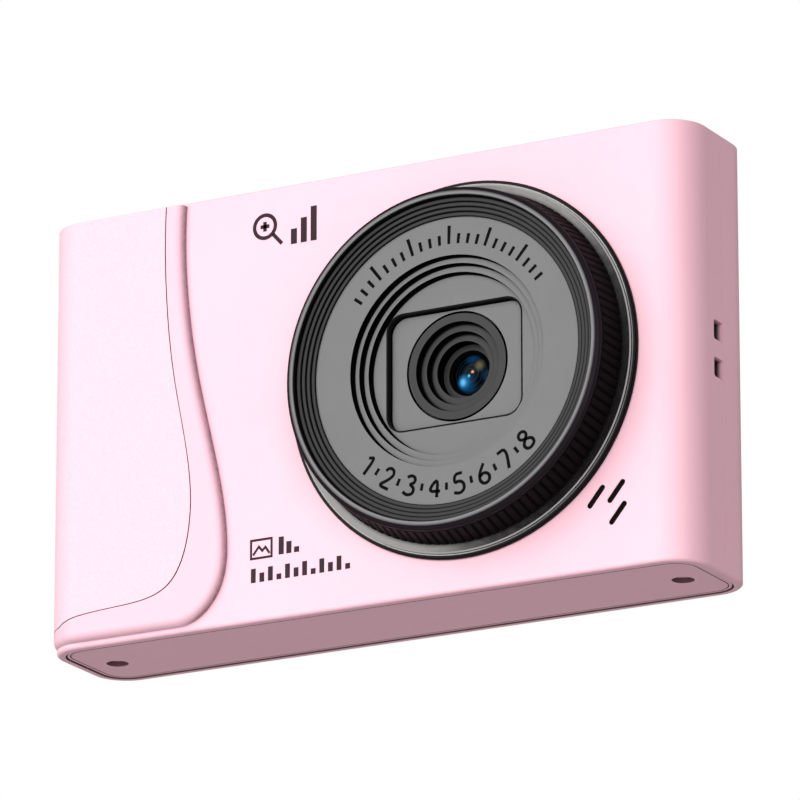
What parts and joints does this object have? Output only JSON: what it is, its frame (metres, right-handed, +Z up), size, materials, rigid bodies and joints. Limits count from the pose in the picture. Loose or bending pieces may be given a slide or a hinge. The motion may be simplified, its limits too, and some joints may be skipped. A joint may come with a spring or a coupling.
{
  "type": "compact digital camera",
  "caption": "Slim compact digital camera with a fixed round lens, knurled lens ring, side grip, rear screen, top buttons and rear keys.",
  "frame": {"origin": "bottom centre of the whole camera's box, on the plane the camera stands on", "axes": "+X to the right of a person facing the lens, +Y from the lens to the screen, +Z up"},
  "size_m": [0.1, 0.026, 0.0622],
  "materials": {
    "body_plastic": "satin pink moulding",
    "base_plastic": "matt pink moulding",
    "grip_plastic": "satin pink moulding",
    "grip_leather": "fine grained pink skin",
    "lens_black": "satin black",
    "trim_metal": "turned bright edge",
    "lens_grey": "matt grey",
    "lens_dark_grey": "matt dark grey",
    "lens_glass": "coated",
    "filter_glass": "polished",
    "black_metal": "black anodised",
    "chassis_plastic": "matt black",
    "steel": "plated",
    "chip_black": "moulded",
    "board_green": "lacquered circuit board",
    "ribbon": "amber film",
    "cell_wrap": "foil pouch",
    "wire_red": "insulation",
    "screen_module": "black glass and steel frame",
    "foam": "soft",
    "felt_black": "fine woven mesh",
    "screen_glass": "polished",
    "lamp_clear": "clear",
    "key_plastic": "satin pink moulding"
  },
  "bodies": {
    "camera_body": {"front_cover": "body_plastic", "rear_cover": "body_plastic", "top_plate": "body_plastic", "bottom_plate": "base_plastic", "grip_frame": "grip_plastic", "grip_pad": "grip_leather", "lens_base_ring": "lens_black", "lens_front_ring": "lens_black", "lens_holder": "lens_black", "well_liner": "lens_black", "sound_mesh": "felt_black", "lens_trim_ring": "trim_metal", "lens_face_plate": "lens_grey", "lens_cone": "lens_dark_grey", "lens_front_glass": "lens_glass", "lens_rear_glass": "lens_glass", "ir_filter": "filter_glass", "lens_barrel": "black_metal", "lens_carrier": "chassis_plastic", "mid_frame": "chassis_plastic", "battery_bracket": "chassis_plastic", "rear_switches": "chassis_plastic", "top_switches": "chassis_plastic", "bottom_screws": "steel", "carrier_screws": "steel", "sensor_screws": "steel", "board_screws": "steel", "usb_port": "steel", "card_socket": "steel", "microphone": "steel", "image_sensor": "chip_black", "main_chips": "chip_black", "speaker": "chip_black", "sensor_board": "board_green", "main_board": "board_green", "top_board": "board_green", "sensor_flex": "ribbon", "lcd_flex": "ribbon", "battery": "cell_wrap", "battery_leads": "wire_red", "speaker_leads": "wire_red", "lcd_module": "screen_module", "lcd_gasket": "foam", "lcd_window": "screen_glass", "status_lamp": "lamp_clear", "lamp_chip": "lamp_clear"},
    "lens_knurled_ring": {"lens_knurled_ring": "lens_black"},
    "shutter_button": {"shutter_button": "key_plastic"},
    "power_button": {"power_button": "key_plastic"},
    "zoom_rocker": {"zoom_rocker": "key_plastic"},
    "ok_button": {"ok_button": "key_plastic"},
    "menu_button": {"menu_button": "key_plastic"},
    "mode_button": {"mode_button": "key_plastic"},
    "playback_button": {"playback_button": "key_plastic"},
    "delete_button": {"delete_button": "key_plastic"},
    "left_key": {"left_key": "key_plastic"},
    "up_key": {"up_key": "key_plastic"},
    "right_key": {"right_key": "key_plastic"},
    "down_key": {"down_key": "key_plastic"}
  },
  "joints": [
    {"name": "lens_ring_turn", "type": "hinge", "parent": "camera_body", "child": "lens_knurled_ring", "pos_m": [0.016, -0.00639, 0.03085], "axis": [0, -1, 0], "continuous": true},
    {"name": "shutter_press", "type": "slide", "parent": "camera_body", "child": "shutter_button", "axis": [0, 0, -1], "range_m": [0, 0.0005], "stiffness_N_per_m": 1500, "springref_m": -0.0004},
    {"name": "power_press", "type": "slide", "parent": "camera_body", "child": "power_button", "axis": [0, 0, -1], "range_m": [0, 0.0004], "stiffness_N_per_m": 1500, "springref_m": -0.0004},
    {"name": "ok_press", "type": "slide", "parent": "camera_body", "child": "ok_button", "axis": [0, -1, 0], "range_m": [0, 0.0003], "stiffness_N_per_m": 2000, "springref_m": -0.0004},
    {"name": "menu_press", "type": "slide", "parent": "camera_body", "child": "menu_button", "axis": [0, -1, 0], "range_m": [0, 0.0003], "stiffness_N_per_m": 2000, "springref_m": -0.0004},
    {"name": "mode_press", "type": "slide", "parent": "camera_body", "child": "mode_button", "axis": [0, -1, 0], "range_m": [0, 0.0003], "stiffness_N_per_m": 2000, "springref_m": -0.0004},
    {"name": "playback_press", "type": "slide", "parent": "camera_body", "child": "playback_button", "axis": [0, -1, 0], "range_m": [0, 0.0003], "stiffness_N_per_m": 2000, "springref_m": -0.0004},
    {"name": "delete_press", "type": "slide", "parent": "camera_body", "child": "delete_button", "axis": [0, -1, 0], "range_m": [0, 0.0003], "stiffness_N_per_m": 2000, "springref_m": -0.0004},
    {"name": "left_press", "type": "slide", "parent": "camera_body", "child": "left_key", "axis": [0, -1, 0], "range_m": [0, 0.0003], "stiffness_N_per_m": 2000, "springref_m": -0.0004},
    {"name": "up_press", "type": "slide", "parent": "camera_body", "child": "up_key", "axis": [0, -1, 0], "range_m": [0, 0.0003], "stiffness_N_per_m": 2000, "springref_m": -0.0004},
    {"name": "right_press", "type": "slide", "parent": "camera_body", "child": "right_key", "axis": [0, -1, 0], "range_m": [0, 0.0003], "stiffness_N_per_m": 2000, "springref_m": -0.0004},
    {"name": "down_press", "type": "slide", "parent": "camera_body", "child": "down_key", "axis": [0, -1, 0], "range_m": [0, 0.0003], "stiffness_N_per_m": 2000, "springref_m": -0.0004},
    {"name": "zoom_rock", "type": "hinge", "parent": "camera_body", "child": "zoom_rocker", "pos_m": [-0.033, 0.00991, 0.0524], "axis": [0, 0, 1], "range_deg": [-2.4, 2.4], "stiffness_Nm_per_rad": 0.1}
  ]
}
